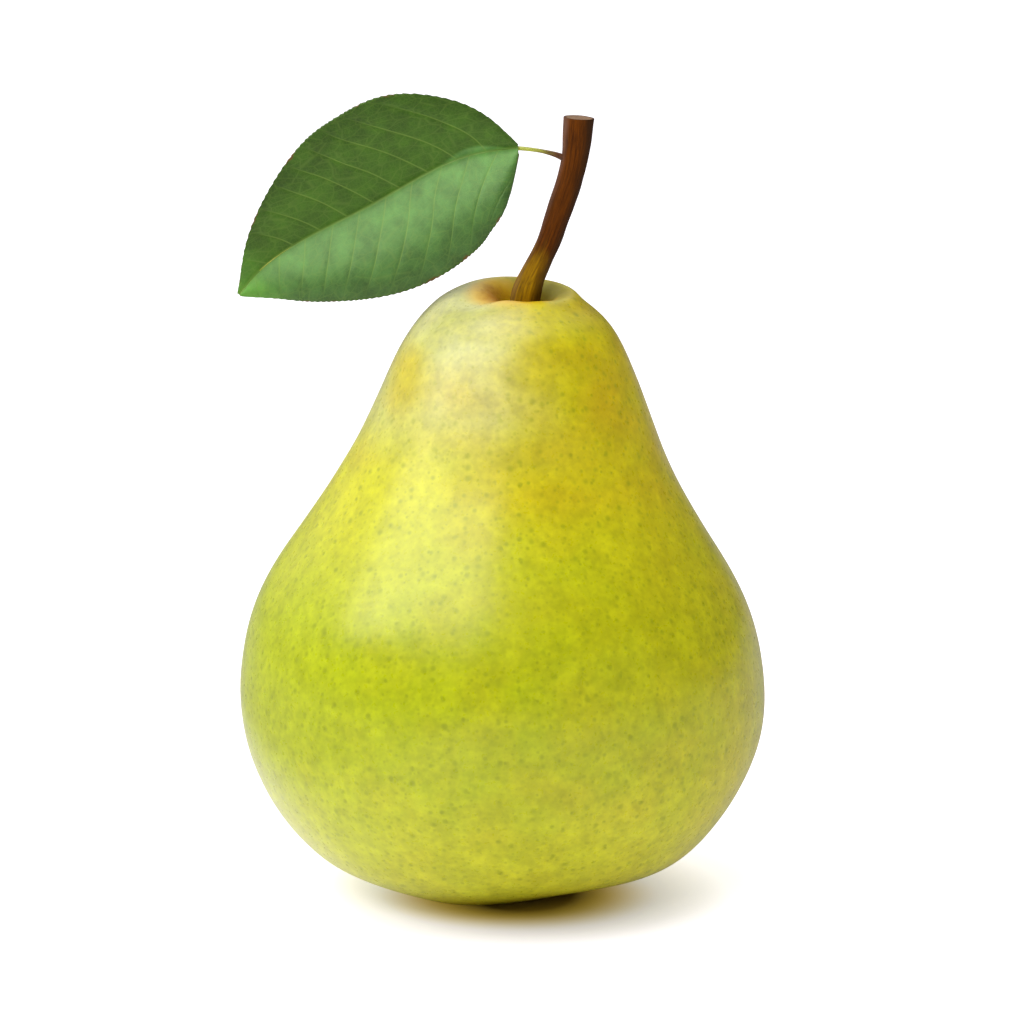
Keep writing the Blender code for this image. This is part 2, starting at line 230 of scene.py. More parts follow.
class PearStemSettings(bpy.types.PropertyGroup):
    rows: count("Rows", "Rows of points along the stem", 240)
    sides: count("Sides", "Points round the stem", 96)
    ridge_depth: size("Ridge depth", "How far the bark's long ridges stand out", 0.09)
    bark: colour("Bark", "Bark of the upper half", "562B02")
    foot: colour("Foot", "Younger bark towards the fruit", "967004")
    # Painted shade for the bark's right side, away from the leaf and the lights.
    shade: colour("Shaded bark", "Bark on the side away from the leaf", "2E1C08")
    # Painted sheen: a grey film along the stem's left edge.
    painted_rim_sheen: colour("Lichen", "Grey film on the weather side", "8A7468")
    cut: colour("Cut end", "Dried wood at the cut", "866A52")
    rim: colour("Cut rim", "Bark at the rim of the cut", "3A1C0A")


class PearLeafSettings(bpy.types.PropertyGroup):
    rows: count("Rows", "Rows of points from the base to the tip", 300)
    columns: count("Columns", "Points across the blade", 96)
    thickness: size("Thickness", "Thickness of the blade", 0.3)
    vein_spacing: size("Vein spacing", "How far apart the side veins leave the midrib", 4.4)
    tooth_pitch: size("Tooth pitch", "How far apart the teeth of the margin are", 1.0)
    # Lit and shaded copies of one green: painted shade for the half above the midrib, painted light for the
    # half below.
    shaded: colour("Upper half", "Upper face of the half above the midrib", "3B620A")
    lit: colour("Lower half", "Upper face of the half below the midrib", "4A7434")
    tip: colour("Tip", "Younger tissue at the tip", "5C9A2E")
    under: colour("Under face", "Under face of the blade", "7E9A5C")
    vein: colour("Veins", "Midrib and side veins", "7E9C40")
    browned: colour("Browned margin", "Weathered spots at the margin", "6A3C1A")
    stalk: colour("Stalk", "Leaf stalk", "A6AC40")
    stalk_foot: colour("Stalk foot", "Leaf stalk where it meets the stem", "5A3210")


class PearCalyxSettings(bpy.types.PropertyGroup):
    rows: count("Rows", "Rows of points along each sepal", 40)
    columns: count("Columns", "Points across each sepal", 20)
    thickness: size("Thickness", "Thickness of a sepal", 0.28)
    filaments: count("Filaments", "Stamens and styles in the tuft", 22)
    dried: colour("Dried", "Dried sepals", "4A3220")
    pale: colour("Pale", "Dry edges and hairs", "8C7350")


class PearStageSettings(bpy.types.PropertyGroup):
    floor_radius: size("Floor radius", "Radius of the floor", 4000.0)
    floor: colour("Floor", "The floor", "CCC4CE")
    # Painted shadow and bounce light at the pear's foot.
    foot: colour("Floor at the foot", "Floor close to where the pear stands", "C0A446")
    surround: brightness("Surround", "Light from all round the studio", 1.3)
    key: brightness("Key light", "Brightness of the softbox at the front left", 3.25)
    shine: brightness("Shine", "Brightness of the card that only shows in reflections", 3.9)
    top: brightness("Top light", "Brightness of the softbox overhead", 2.4)
    fill: brightness("Fill light", "Brightness of the low card at the front right", 1.15)
    # The floor's painted glow, cut out under the pear to paint its soft shadow.
    table: brightness("Table light", "Light through the floor round the pear", 0.8)


SETTINGS = {
    "pear_fruit": PearFruitSettings,
    "pear_stem": PearStemSettings,
    "pear_leaf": PearLeafSettings,
    "pear_calyx": PearCalyxSettings,
    "pear_stage": PearStageSettings,
}


# Curves and numbers


def spline(knots, values, at):
    """The natural cubic spline through values at knots, read at each place in at."""
    knots, values = np.array(knots, float), np.array(values, float)
    values = values.reshape(len(knots), -1)
    gaps = np.diff(knots)
    system = np.eye(len(knots))
    bends = np.zeros_like(values)
    for i in range(1, len(knots) - 1):
        system[i, i - 1 : i + 2] = gaps[i - 1], 2 * (gaps[i - 1] + gaps[i]), gaps[i]
        slopes = np.diff(values[i - 1 : i + 2], axis=0) / gaps[i - 1 : i + 1, None]
        bends[i] = 6 * (slopes[1] - slopes[0])
    bends = np.linalg.solve(system, bends)
    i = np.clip(np.searchsorted(knots, at, side="right") - 1, 0, len(gaps) - 1)
    gap = gaps[i][:, None]
    back = (knots[i + 1] - at)[:, None] / gap
    on = 1 - back
    straight = back * values[i] + on * values[i + 1]
    return straight + ((back**3 - back) * bends[i] + (on**3 - on) * bends[i + 1]) * gap**2 / 6


def distances(points):
    """How far along the line through points each of them is."""
    lengths = np.linalg.norm(np.diff(np.array(points, float), axis=0), axis=1)
    return np.concatenate([[0], np.cumsum(lengths)])


def along(points, count):
    """count points evenly spaced along a smooth line through points."""
    knots = distances(points)
    return spline(knots, points, np.linspace(0, knots[-1], count))


def read(table, at):
    """A table of (place, value) as a smooth function, read at each place in at."""
    places, values = zip(*table)
    return spline(places, values, np.array(at, float))[:, 0]


def sample(line, share):
    """Points at these shares of the way along a finely stepped line."""
    places = np.linspace(0, 1, len(line))
    return np.column_stack([np.interp(share, places, axis) for axis in line.T])


def ramp(value, start, end):
    """0 before start, 1 after end, and a smooth step between them."""
    share = np.clip((value - start) / (end - start), 0, 1)
    return share * share * (3 - 2 * share)


def hump(value, middle, reach):
    return np.exp(-(((value - middle) / reach) ** 2))


def unit(vectors):
    return vectors / np.linalg.norm(vectors, axis=-1, keepdims=True)


def lumps(points, size, seed=0):
    """Smooth noise from -1 to 1 at each point, with its lumps about size apart."""
    offset = Vector((seed * 17.3, seed * 5.1, seed * 9.7))
    size = np.broadcast_to(size, 3)
    return np.array([noise.noise(Vector(point) + offset) for point in points / size])


# Meshes


def points_of(mesh):
    """A mesh's points in millimetres."""
    points = np.empty(len(mesh.vertices) * 3)
    mesh.vertices.foreach_get("co", points)
    return points.reshape(-1, 3) / MM


def normals_of(mesh):
    normals = np.empty(len(mesh.vertices) * 3)
    mesh.vertices.foreach_get("normal", normals)
    return normals.reshape(-1, 3)


def set_points(mesh, points):
    mesh.vertices.foreach_set("co", (np.array(points) * MM).ravel())
    mesh.update()


def set_attributes(mesh, **attributes):
    """Stores numbers or vectors at the mesh's points, for its material to read."""
    for name, values in attributes.items():
        values = np.array(values, np.float32)
        vector = values.ndim > 1
        attribute = mesh.attributes.new(name, "FLOAT_VECTOR" if vector else "FLOAT", "POINT")
        attribute.data.foreach_set("vector" if vector else "value", values.ravel())


def grid(name, rows, columns):
    """A flat grid mesh, with the place of each of its points as (share along, share across)."""
    mesh = bpy.data.meshes.new(name)
    cage = bmesh.new()
    bmesh.ops.create_grid(cage, x_segments=rows, y_segments=columns, size=1)
    cage.to_mesh(mesh)
    cage.free()
    flat = points_of(mesh) * MM
    return mesh, (flat[:, 0] + 1) / 2, (flat[:, 1] + 1) / 2


def weld(mesh):
    cage = bmesh.new()
    cage.from_mesh(mesh)
    bmesh.ops.remove_doubles(cage, verts=cage.verts, dist=FINEST_GAP * MM)
    bmesh.ops.dissolve_degenerate(cage, edges=cage.edges, dist=FINEST_GAP * MM)
    bmesh.ops.recalc_face_normals(cage, faces=cage.faces)
    cage.to_mesh(mesh)
    cage.free()
    mesh.shade_smooth()


def applied(obj):
    """Turns obj's modifiers into plain mesh."""
    graph = bpy.context.evaluated_depsgraph_get()
    mesh = bpy.data.meshes.new_from_object(obj.evaluated_get(graph))
    obj.modifiers.clear()
    obj.data = mesh
    return obj


def thicken(obj, thickness, back=0):
    """Gives a sheet its thickness, half to each side. back says which material its back takes."""
    solidify = obj.modifiers.new("thickness", "SOLIDIFY")
    solidify.thickness = thickness
    solidify.offset = 0
    solidify.material_offset = back
    applied(obj)
    obj.data.shade_smooth()
    return obj


def add_object(name, data):
    """A new object, in the pear's collection."""
    collection = bpy.data.collections.get("pear")
    if not collection:
        collection = bpy.data.collections.new("pear")
        bpy.context.scene.collection.children.link(collection)
    obj = bpy.data.objects.new(name, data)
    collection.objects.link(obj)
    return obj


def finish_piece(obj, materials, node):
    """Gives a finished piece its materials, puts it on the body and hides the CAD node that it stands for.
    """
    if not obj.data.vertices:
        raise RuntimeError(f"{obj.name} has no points")
    obj.data.materials.clear()
    for material in materials:
        obj.data.materials.append(material)
    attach(obj, BODY)
    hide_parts(node)
    return obj


def new_material(name):
    """A new material, and add_node bound to its nodes."""
    material = bpy.data.materials.new(name)
    material.use_nodes = True
    material.node_tree.nodes.clear()
    return material, partial(add_node, material.node_tree)


def add_node(tree, kind, inputs=(), output=0, stops=(), **settings):
    """Adds a node and returns one of its outputs, or all of them where output is None.

    inputs gives the first sockets' values in order, or pairs each socket with its value. A value may
    be another node's output. stops are a colour ramp's (place, colour).
    """
    node = tree.nodes.new("ShaderNode" + kind)
    for name, value in settings.items():
        setattr(node, name, value)
    for name, value in inputs.items() if isinstance(inputs, dict) else enumerate(inputs):
        socket = node.inputs[name]
        if isinstance(value, bpy.types.NodeSocket):
            tree.links.new(value, socket)
        else:
            socket.default_value = (*value, 1)[:4] if socket.type == "RGBA" else value
    for _ in stops[2:]:
        node.color_ramp.elements.new(0.5)
    if stops:
        for element, (place, shade) in zip(node.color_ramp.elements, stops):
            element.position = place
            element.color = (*shade, 1)
    return node.outputs if output is None else node.outputs[output]


def toned(add, shade, pattern, low, high, start=0.3, end=0.7):
    """A colour from low to high times as bright, as the pattern goes from start to end."""
    tone = add("MapRange", (pattern, start, end, low, high))
    return add("VectorMath", {0: shade, "Scale": tone}, operation="SCALE")


def surface(add, sockets, relief=None, strength=0.0, distance=0.0):
    """Ends a material in a principled surface, with relief that stands distance high at most."""
    if relief:
        sockets["Normal"] = add("Bump", {"Height": relief, "Strength": strength, "Distance": distance})
    shader = add("BsdfPrincipled", sockets)
    add("OutputMaterial", {0: shader}, None)


# The fruit


def round_the_rim(degrees):
    """How far the rim is off the table at these angles: RIM_RISE as a smooth closed ring."""
    ring = RIM_RISE[:-1]
    turns = [(angle + turn, rise) for turn in (-360, 0, 360) for angle, rise in ring]
    return read(turns, degrees)


def shape_fruit(points):
    """Takes the turned fruit's points to where they are on the grown one."""
    x, y, z = points.T
    radius, angle = np.hypot(x, y), np.arctan2(y, x)
    round_lobe = np.cos(LOBES * (angle - math.radians(FIRST_LOBE)))

    swell = 1 + SKEW * np.sin(2 * angle) + THREE_SIDED * np.sin(3 * angle)
    swell += RIB_SHARE * round_lobe * hump(z, RIB_HEIGHT, RIB_REACH)
    x, y = x * swell, y * swell * FRONT_TO_BACK

    near_rim = hump(np.maximum(z, 0), 0, RISE_FADE) * ramp(radius, 3.0, 11.0)
    z = z + round_the_rim(np.degrees(angle)) * near_rim

    crown = ramp(z, CROWN_START, CROWN_TOP)
    mouth = ramp(z, CAVITY_START, CROWN_START) * (1 - ramp(radius, CAVITY_RADIUS, SHOULDER_RADIUS))
    off_crease = (np.degrees(angle) - CREASE_ANGLE + 180) % 360 - 180
    crease = hump(off_crease, 0, CREASE_SPREAD) * hump(radius, RIM_RADIUS, 3.0)
    tilt = RIM_TILT * np.minimum(radius / RIM_RADIUS, 1) * np.cos(angle - math.radians(RIM_HIGH_SIDE))
    z = z + crown * (tilt - CREASE_DEPTH * crease)
    x = x + CAVITY_SHIFT * mouth + read(LEAN, z)
    return np.column_stack([x, y, np.maximum(z, 0)])


def fruit_mesh(settings):
    """The fruit's skin, turned finely and then given the lumps of grown flesh."""
    line = along(FRUIT_OUTLINE, settings.rows)
    line[[0, -1], 0] = 0
    mesh = bpy.data.meshes.new("pear_outline")
    corners = [(radius * MM, 0, height * MM) for radius, height in line]
    mesh.from_pydata(corners, [(i, i + 1) for i in range(len(corners) - 1)], [])
    obj = add_object("pear_body", mesh)
    screw = obj.modifiers.new("turn", "SCREW")
    screw.axis = "Z"
    screw.steps = screw.render_steps = settings.turns
    screw.use_merge_vertices = True
    screw.merge_threshold = FINEST_GAP * MM
    applied(obj)

    turned = points_of(obj.data)
    radius, height = np.hypot(turned[:, 0], turned[:, 1]), turned[:, 2]
    grown = shape_fruit(turned)
    set_points(obj.data, grown)
    normals = normals_of(obj.data)
    lump_size, lump_depth = settings.lump_size / MM, settings.lump_depth / MM
    relief = lump_depth * lumps(grown, (lump_size, lump_size, lump_size * 0.7), 1)
    relief += lump_depth * 0.3 * lumps(grown, lump_size * 0.4, 2)
    free = ramp(height, *LUMPS_START)
    in_cavity = ramp(height, *CAVITY_HEIGHTS) * (1 - ramp(radius, *CAVITY_RADII))
    angle = np.arctan2(grown[:, 1] - CAVITY_FLOOR[1], grown[:, 0] - CAVITY_FLOOR[0])
    furrows = lumps(np.column_stack([np.cos(angle), np.sin(angle), radius * 0.06]), FURROW_SIZE, 3)
    relief = relief * free * (1 - in_cavity) + FURROW_DEPTH * furrows * in_cavity
    relief += SKIN_PROUD * ramp(height, *FLANK_START) * (1 - ramp(height, *FLANK_END))
    grown = grown + normals * relief[:, None]
    grown[:, 2] = np.maximum(grown[:, 2], 0)
    set_points(obj.data, grown)
    from_cavity = np.hypot(grown[:, 0] - CAVITY_FLOOR[0], grown[:, 1] - CAVITY_FLOOR[1])
    # Russet is thickest where the crease leaves the cavity, and thin on the other side of the stem.
    creased = np.cos(angle - math.radians(CREASE_ANGLE)) * 0.5 + 0.5
    near_stem = ramp(height, 76.0, 81.0) * (1 - ramp(from_cavity, 3.8, 5.2 + 6.0 * creased))
    side = unit(grown[:, :2])[:, 0] + 0.15 * lumps(grown, MOTTLING, 22)
    # Paler skin high on the neck's left: partly the side away from the sun, partly a painted highlight
    # where the shine card is reflected.
    pale = ramp(height, 60.0, 74.0) * ramp(-side, -0.6, 0.2)
    set_attributes(
        obj.data,
        near_stem=near_stem * (0.25 + 0.85 * creased),
        # Painted shade in the stem cavity, strongest away from the crease.
        cavity=in_cavity * (1 - 0.7 * creased),
        near_calyx=(1 - ramp(height, 5.0, 12.0)) * (1 - ramp(radius, 3.0, 12.0)),
        sun=sun_on_skin(grown, height),
        pale=pale * np.clip(1 - warm_patches(grown), 0, 1),
    )
    obj.data.shade_smooth()
    return obj


def warm_patches(points):
    """How warm the skin is at each point from the patches alone."""
    away = [np.linalg.norm((points - place) / reach, axis=1) for place, reach, _ in WARM_PATCHES]
    return sum(patch[2] * np.exp(-(distance**2)) for patch, distance in zip(WARM_PATCHES, away))


def sun_on_skin(points, height):
    """How ripe the sun has made the skin at each point: most on the +X side of the neck."""
    side = unit(points[:, :2])[:, 0]
    neck = ramp(height, 50.0, 64.0)
    sun = (0.13 + 0.2 * side + 0.1 * side**4 * np.sign(side)) * (1 - neck) + (0.32 + 0.36 * side) * neck
    sun += warm_patches(points)
    return sun + 0.16 * lumps(points, MOTTLING, 20) + 0.3 * neck * lumps(points, (8.0, 8.0, 3.5), 21)


def pear_skin(settings):
    """Pear skin: a thin wax bloom over living cells, which gives a soft gloss, and corky dots."""
    material, add = new_material("pear_skin_waxed")
    pale, sun, cavity, near_stem, near_calyx = (
        add("Attribute", output="Fac", attribute_name=name)
        for name in ("pale", "sun", "cavity", "near_stem", "near_calyx")
    )
    place = add("TexCoord", output="Object")
    height = add("SeparateXYZ", {0: place}, "Z")
    # Broad drifts, about 14 mm across, move the bands of colour up and down the fruit.
    drift = add("TexNoise", {"Vector": place, "Scale": 70.0, "Detail": 2.0})
    share = add("MapRange", (height, 0.0, 0.0865, -0.07, 0.93))
    share = add("Math", (drift, 0.14, share), operation="MULTIPLY_ADD")
    bands = add("ValToRGB", {0: share}, stops=[
        (0.0, settings.base), (0.26, settings.belly), (0.48, settings.belly),
        (0.7, settings.neck), (1.0, settings.neck),
    ])
    # Mix in the pale side, which is partly a painted highlight.
    bands = add("Mix", {0: pale, 6: bands, 7: settings.pale}, **COLOURS)
    # The sunny side has lost its chlorophyll first, in streaks about 4 mm wide.
    streaks = add("TexNoise", {"Vector": place, "Scale": 260.0, "Detail": 3.0})
    sun = add("Math", (streaks, 0.3, sun), operation="MULTIPLY_ADD")
    sun = add("MapRange", (sun, 0.15, 1.15))
    skin = add("Mix", {0: sun, 6: bands, 7: settings.sunny}, **COLOURS)
    # Mottling: cells of chlorophyll under the skin, in clouds 3 mm and 1 mm across.
    cloud = add("TexNoise", {"Vector": place, "Scale": 330.0, "Detail": 4.0, "Roughness": 0.65})
    skin = toned(add, skin, cloud, 0.84, 1.16)
    speckle = add("TexNoise", {"Vector": place, "Scale": 1050.0, "Detail": 1.0})
    paler = add("MapRange", (speckle, 0.35, 0.7, 0.0, 0.12))
    skin = add("Mix", {0: paler, 6: skin, 7: settings.neck}, **COLOURS)
    skin = toned(add, skin, speckle, 0.93, 1.07)
    # Lenticels fade under the painted highlight of the pale side.
    hidden = add("MapRange", {0: pale, 3: 1.0, 4: 0.5})
    # Lenticels: dots of 0.2 to 1 mm, each with its own size from its cell's colour.
    for spacing, strength, widest in LENTICELS:
        cells = add("TexVoronoi", {"Vector": place, "Scale": 1 / (settings.dot_spacing * spacing)}, None)
        size_of = add("SeparateColor", {0: cells["Color"]})
        size_of = add("MapRange", (size_of, 0.0, 1.0, 0.08, widest))
        dot = add("Math", (cells["Distance"], size_of), operation="DIVIDE")
        dot = add("MapRange", (dot, 0.15, 1.3, strength, 0.0), **SMOOTH)
        shown = add("Math", (dot, hidden), operation="MULTIPLY")
        skin = add("Mix", {0: shown, 6: skin, 7: settings.dots}, **COLOURS)
        if spacing == 1.0:
            big_dot = dot
    # Painted shade darkens the stem cavity's recess to olive.
    skin = add("Mix", {0: cavity, 6: skin, 7: settings.cavity}, **COLOURS)
    # Russet: cork where the skin cracked round the stem and in the calyx basin.
    crack = add("TexNoise", {"Vector": place, "Scale": 900.0, "Detail": 5.0, "Roughness": 0.7})
    near = add("Math", (near_stem, near_calyx), operation="MAXIMUM")
    golden = add("MapRange", (near, 0.08, 0.7, 0.0, 0.85), **SMOOTH)
    skin = add("Mix", {0: golden, 6: skin, 7: settings.golden}, **COLOURS)
    russet = add("Math", (crack, 0.7, near), operation="MULTIPLY_ADD")
    russet = add("MapRange", (russet, 0.9, 1.45, 0.0, 0.8), **SMOOTH)
    skin = add("Mix", {0: russet, 6: skin, 7: settings.russet}, **COLOURS)
    # The wax is thinner over the dots and dull on the cork.
    grain = add("TexNoise", {"Vector": place, "Scale": 1500.0, "Detail": 3.0})
    rough = add("MapRange", (grain, 0.3, 0.7, 0.26, 0.35))
    dull = add("Math", (russet, cavity), operation="MAXIMUM")
    rough = add("Math", (dull, 0.3, rough), operation="MULTIPLY_ADD")
    wax = add("MapRange", (dull, 0.0, 0.6, 0.38, 0.0))
    # Relief: orange-peel grain of 0.7 mm over shallow dimples 2.4 mm apart, and dots that stand proud.
    relief = add("Math", (big_dot, 0.5, grain), operation="MULTIPLY_ADD")
    pores = add("TexNoise", {"Vector": place, "Scale": 420.0, "Detail": 2.0})
    relief = add("Math", (pores, 1.6, relief), operation="MULTIPLY_ADD")
    surface(add, {
        "Base Color": skin, "Roughness": rough, "IOR": 1.4,
        "Subsurface Weight": 0.18, "Subsurface Radius": (1.0, 0.7, 0.15), "Subsurface Scale": 0.0025,
        "Coat Weight": wax, "Coat Roughness": 0.3, "Coat IOR": 1.4,
    }, relief, 0.35, 0.00005)
    return material


class PEAR_OT_fruit(bpy.types.Operator):
    """Grow the fruit's skin"""

    bl_idname = "pear.fruit"
    bl_label = "Fruit"
    bl_options = {"REGISTER", "UNDO"}

    def execute(self, context):
        settings = context.scene.pear_fruit
        finish_piece(fruit_mesh(settings), [pear_skin(settings)], "fruit")
        return {"FINISHED"}


# The stem


def sweep(name, line, radii, rows, sides, caps):
    """A round bar along line with a closed end at each tip.

    radii gives the radius at (share along, angle) in millimetres and caps lists (share of the radius,
    how far out along the line) from the rim of an end to its middle. The mesh stores each point's place
    on the bar drawn straight, its share along, and how far in from the rim of the far end it is.
    """
    fine = along(line, 400)
    total = distances(line)[-1]
    heading = unit(np.gradient(fine, axis=0))
    side = np.zeros_like(fine)
    side[0] = unit(np.cross(heading[0], (0.0, 1.0, 0.0)))
    for i in range(1, len(fine)):
        side[i] = unit(side[i - 1] - heading[i] * np.dot(side[i - 1], heading[i]))
    other = np.cross(heading, side)

    mesh, row, turn = grid(name, rows + 2 * len(caps), sides)
    step = np.round(row * (rows + 2 * len(caps))).astype(int) - len(caps)
    share = np.clip(step / rows, 0, 1)
    inwards = np.maximum(-step, step - rows)
    shrink = np.array([1.0] + [cap[0] for cap in caps])[np.maximum(inwards, 0)]
    proud = np.array([0.0] + [cap[1] for cap in caps])[np.maximum(inwards, 0)]
    outwards = np.where(step < 0, -1.0, 1.0)
    angle = turn * 2 * math.pi
    radius = radii(share, angle) * shrink
    centre, ahead, sideways, upwards = (sample(axes, share) for axes in (fine, heading, side, other))
    points = centre + ahead * (proud * outwards)[:, None]
    points += sideways * (radius * np.cos(angle))[:, None] + upwards * (radius * np.sin(angle))[:, None]
    set_points(mesh, points)
    straight = np.column_stack([radius * np.cos(angle), radius * np.sin(angle), share * total])
    set_attributes(mesh, straight=straight, share=share, cut=np.where(step > rows, 1 - shrink, 0.0))
    weld(mesh)
    return mesh


def ring_noise(share, angle, around, length, seed):
    """Noise that closes on itself round a bar: lumps per turn, and their length as a share of the bar."""
    ring = around / (2 * math.pi)
    return lumps(np.column_stack([ring * np.cos(angle), ring * np.sin(angle), share / length]), 1.0, seed)


def stem_mesh(settings):
    depth = settings.ridge_depth / MM

    def radii(share, angle):
        radius = read(STEM_RADIUS, share)
        for strength, around, length, seed in BARK_RIDGES:
            radius = radius + strength * depth * ring_noise(share, angle, around, length, seed)
        return radius - 0.4 * depth

    mesh = sweep("stem_wood", STEM_LINE, radii, settings.rows, settings.sides, CUT_END)
    return add_object("stem_wood", mesh)


def stem_bark(settings):
    """Young pear bark: dry and matt, with long fibres, dark near the cut and olive near the fruit."""
    material, add = new_material("stem_bark_dry")
    straight = add("Attribute", output="Vector", attribute_name="straight")
    share = add("Attribute", output="Fac", attribute_name="share")
    cut = add("Attribute", output="Fac", attribute_name="cut")
    # Fibres 0.25 mm wide and about 4 mm long.
    fibre_place = add("Mapping", {"Vector": straight, "Scale": (4.0, 4.0, 0.25)})
    fibres = add("TexNoise", {"Vector": fibre_place, "Scale": 1.0, "Detail": 5.0, "Roughness": 0.6})
    patch_place = add("Mapping", {"Vector": straight, "Scale": (0.6, 0.6, 0.3)})
    patches = add("TexNoise", {"Vector": patch_place, "Scale": 1.0, "Detail": 3.0})
    age = add("Math", (patches, 0.3, share), operation="MULTIPLY_ADD")
    age = add("MapRange", (age, 0.3, 0.58), **SMOOTH)
    bark = add("Mix", {0: age, 6: settings.foot, 7: settings.bark}, **COLOURS)
    bark = toned(add, bark, fibres, 0.5, 1.5)
    # Painted shade darkens the bark on the side away from the leaf and the lights, and a painted sheen lays
    # a thin grey film along the left edge.
    around = add("SeparateXYZ", {0: straight}, 0)
    shade = add("MapRange", (around, -1.7, -0.1, 0.8, 0.0), **SMOOTH)
    bark = add("Mix", {0: shade, 6: bark, 7: settings.shade}, **COLOURS)
    # The painted sheen lies on the left edge, in patches.
    film = add("MapRange", (around, 1.1, 1.9, 0.0, 0.5), **SMOOTH)
    film = add("Math", (film, patches), operation="MULTIPLY")
    bark = add("Mix", {0: film, 6: bark, 7: settings.painted_rim_sheen}, **COLOURS)
    # The cut: grey dried wood with rings of pith and a dark rim.
    wood = toned(add, settings.cut, fibres, 0.75, 1.2)
    on_rim = add("MapRange", (cut, 0.0, 0.03, 0.0, 0.8))
    bark = add("Mix", {0: on_rim, 6: bark, 7: settings.rim}, **COLOURS)
    on_cut = add("MapRange", (cut, 0.06, 0.2), **SMOOTH)
    bark = add("Mix", {0: on_cut, 6: bark, 7: wood}, **COLOURS)
    rough = add("MapRange", (fibres, 0.3, 0.7, 0.5, 0.75))
    sockets = {"Base Color": bark, "Roughness": rough, "IOR": 1.5, "Specular IOR Level": 0.06}
    surface(add, sockets, fibres, 0.6, 0.00012)
    return material


class PEAR_OT_stem(bpy.types.Operator):
    """Grow the woody stem"""

    bl_idname = "pear.stem"
    bl_label = "Stem"
    bl_options = {"REGISTER", "UNDO"}

    def execute(self, context):
        settings = context.scene.pear_stem
        finish_piece(stem_mesh(settings), [stem_bark(settings)], "stem")
        return {"FINISHED"}


# The leaf


def blade_frame(share):
    """The midrib's points at these shares of its length, and the ways across and out of the blade."""
    fine = along(MIDRIB, 200)
    places = sample(fine, share)
    heading = sample(np.gradient(fine, axis=0), share)
    across = unit(np.cross(heading, unit(np.array(BLADE_FACING))))
    return places, across, unit(np.cross(across, heading))


def blade_mesh(settings):
    """The blade: two halves that rise from the midrib, quilted between its veins, with a toothed margin."""
    mesh, row, column = grid("leaf_blade", settings.rows, settings.columns)
    # Rows are closer together at the rounded base and at the tip.
    share = 0.5 * row + 0.5 * (1 - np.cos(math.pi * row)) / 2
    across = column * 2 - 1
    out = np.abs(across)
    length = distances(MIDRIB)[-1]
    places, sideways, outwards = blade_frame(share)
    width = np.where(across > 0, read(UPPER_WIDTH, share), read(LOWER_WIDTH, share))
    # Teeth lean towards the tip: a slow rise and a quick fall.
    pitch = settings.tooth_pitch / MM
    edge_run = share * length * 1.15
    tooth = (edge_run / pitch + 0.6 * lumps(np.column_stack([edge_run, across, across]), 3.0, 7)) % 1.0
    tooth = np.where(tooth < TOOTH_RISE, tooth / TOOTH_RISE, (1 - tooth) / (1 - TOOTH_RISE))
    width = width - TOOTH_DEPTH * (1 - tooth) * ramp(out, 0.93, 1.0) * ramp(width, 0.6, 2.5)
    reach = width * out

    # Side veins leave the midrib at about 58 degrees and sweep towards the tip.
    run = share * length
    spacing = settings.vein_spacing / MM
    wander = 0.12 * lumps(np.column_stack([run, reach * np.sign(across), reach * 0]), 6.0, 8)
    side_run = run - VEIN_SLANT * reach - VEIN_SWEEP * reach**2
    phase = side_run / spacing + wander + np.where(across > 0, 0.0, 0.45)
    between = np.abs((phase % 1.0) - 0.5) * 2
    fade = ramp(reach, 0.3, 2.0) * (1 - ramp(out, 0.8, 1.0))
    quilt = -QUILT_DEPTH * (between**6) * fade
    groove = -GROOVE_DEPTH * hump(reach, 0, GROOVE_REACH) * (1 - 0.7 * share)
    wave = WAVE_DEPTH * lumps(np.column_stack([run, across, across]), 9.0, 9) * out**2
    rise, ease = np.where(across > 0, np.array(UPPER_FOLD)[:, None], np.array(LOWER_FOLD)[:, None])
    height = width * (rise * out - ease * out**3) + quilt + groove + wave
    step = np.sign(across)[:, None] * sideways * reach[:, None]
    set_points(mesh, places + step + outwards * height[:, None])
    # Close to the base the painted light of the lower half reaches past the midrib.
    past = 1.1 * hump(share, 0.14, 0.09)
    half = ramp(reach * np.sign(across) - past, -0.25, 0.25)
    flat = np.column_stack([run, reach * np.sign(across), reach * 0])
    set_attributes(
        mesh, flat=flat, phase=phase, reach=reach, margin=width - reach, share=share, half=half, out=out
    )
    return thicken(add_object("leaf_blade", mesh), settings.thickness, back=1)


def stalk_mesh():
    share = np.linspace(0, RIDGE_END, RIDGE_POINTS)
    places, _, outwards = blade_frame(share)
    ridge = places - outwards * (RIDGE_DROP * (1 - ramp(share, 0.5, RIDGE_END)))[:, None]
    line = along(np.vstack([STALK, ridge[1:]]), STALK_POINTS)

    def radii(share, angle):
        return read(STALK_RADIUS, share) * (1 + 0.05 * ring_noise(share, angle, 4.0, 0.04, 10))

    mesh = sweep("leaf_stalk", line, radii, STALK_ROWS, STALK_SIDES, ROUND_END)
    return add_object("leaf_stalk", mesh)


